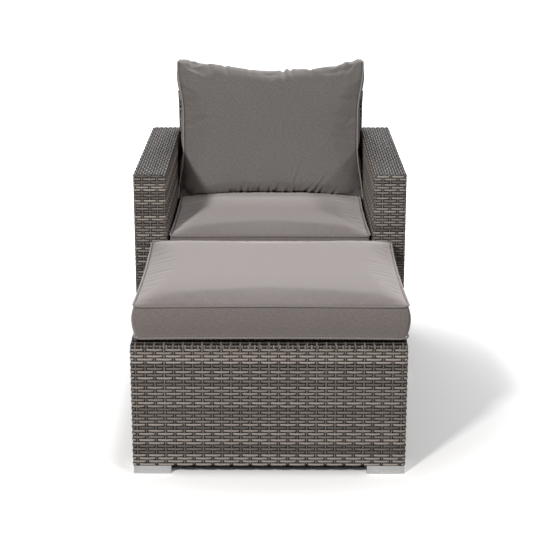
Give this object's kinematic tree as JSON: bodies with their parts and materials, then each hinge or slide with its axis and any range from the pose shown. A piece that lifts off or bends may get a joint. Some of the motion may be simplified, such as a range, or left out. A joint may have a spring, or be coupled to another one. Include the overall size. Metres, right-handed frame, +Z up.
{
  "type": "garden armchair with ottoman",
  "caption": "Low woven garden armchair with wide arms, loose box cushions and a matching ottoman that stands before it.",
  "frame": {"origin": "on the floor, under the middle of the armchair and the ottoman together", "axes": "+Z up, +Y from the ottoman's front to the chair's back, +X to the right as seen from the front"},
  "size_m": [0.78, 1.382, 0.8794],
  "materials": {
    "wicker": "woven strands, matte",
    "frame": "powder coated",
    "feet": "brushed",
    "fabric": "fine plain weave",
    "piping": "fine plain weave",
    "foam": "soft foam",
    "zip": "woven tape",
    "zip_slider": "satin",
    "glides": "matte",
    "brackets": "powder coated",
    "fasteners": "zinc plated"
  },
  "bodies": {
    "armchair": {"left_arm_frame": "frame", "right_arm_frame": "frame", "left_arm_side_weave": "wicker", "right_arm_side_weave": "wicker", "left_arm_top_weave": "wicker", "right_arm_top_weave": "wicker", "seat_frame": "frame", "seat_deck_weave": "wicker", "seat_apron_weave": "wicker", "back_frame": "frame", "back_weave": "wicker", "back_brackets": "brackets", "chair_front_left_foot": "feet", "chair_front_right_foot": "feet", "chair_rear_left_foot": "feet", "chair_rear_right_foot": "feet", "chair_foot_glides": "glides", "chair_foot_screws": "fasteners", "frame_bolts": "fasteners", "bolt_washers": "fasteners", "insert_nuts": "fasteners"},
    "seat_cushion": {"seat_cushion_cover": "fabric", "seat_cushion_foam": "foam", "seat_cushion_piping": "piping", "seat_cushion_zip": "zip"},
    "seat_zip_slider": {"seat_cushion_zip_slider": "zip_slider"},
    "back_cushion": {"back_cushion_cover": "fabric", "back_cushion_fill": "foam", "back_cushion_piping": "piping", "back_cushion_zip": "zip", "back_cushion_zip_slider": "zip_slider"},
    "ottoman": {"ottoman_frame": "frame", "ottoman_side_weave": "wicker", "ottoman_deck_weave": "wicker", "ottoman_front_left_foot": "feet", "ottoman_front_right_foot": "feet", "ottoman_rear_left_foot": "feet", "ottoman_rear_right_foot": "feet", "ottoman_foot_glides": "glides", "ottoman_foot_screws": "fasteners"},
    "ottoman_cushion": {"ottoman_cushion_cover": "fabric", "ottoman_cushion_foam": "foam", "ottoman_cushion_piping": "piping", "ottoman_cushion_zip": "zip"},
    "ottoman_zip_slider": {"ottoman_cushion_zip_slider": "zip_slider"}
  },
  "joints": [
    {"name": "seat_cushion_lift", "type": "slide", "parent": "armchair", "child": "seat_cushion", "axis": [0, 0, 1], "range_m": [0, 0.3]},
    {"name": "seat_zip", "type": "slide", "parent": "seat_cushion", "child": "seat_zip_slider", "axis": [1, 0, 0], "range_m": [0, 0.388]},
    {"name": "back_cushion_lift", "type": "slide", "parent": "seat_cushion", "child": "back_cushion", "axis": [0, 0, 1], "range_m": [0, 0.33]},
    {"name": "ottoman_pull", "type": "slide", "parent": "armchair", "child": "ottoman", "axis": [0, -1, 0], "range_m": [0, 0.5]},
    {"name": "ottoman_cushion_lift", "type": "slide", "parent": "ottoman", "child": "ottoman_cushion", "axis": [0, 0, 1], "range_m": [0, 0.15]},
    {"name": "ottoman_zip", "type": "slide", "parent": "ottoman_cushion", "child": "ottoman_zip_slider", "axis": [1, 0, 0], "range_m": [0, 0.388]}
  ]
}
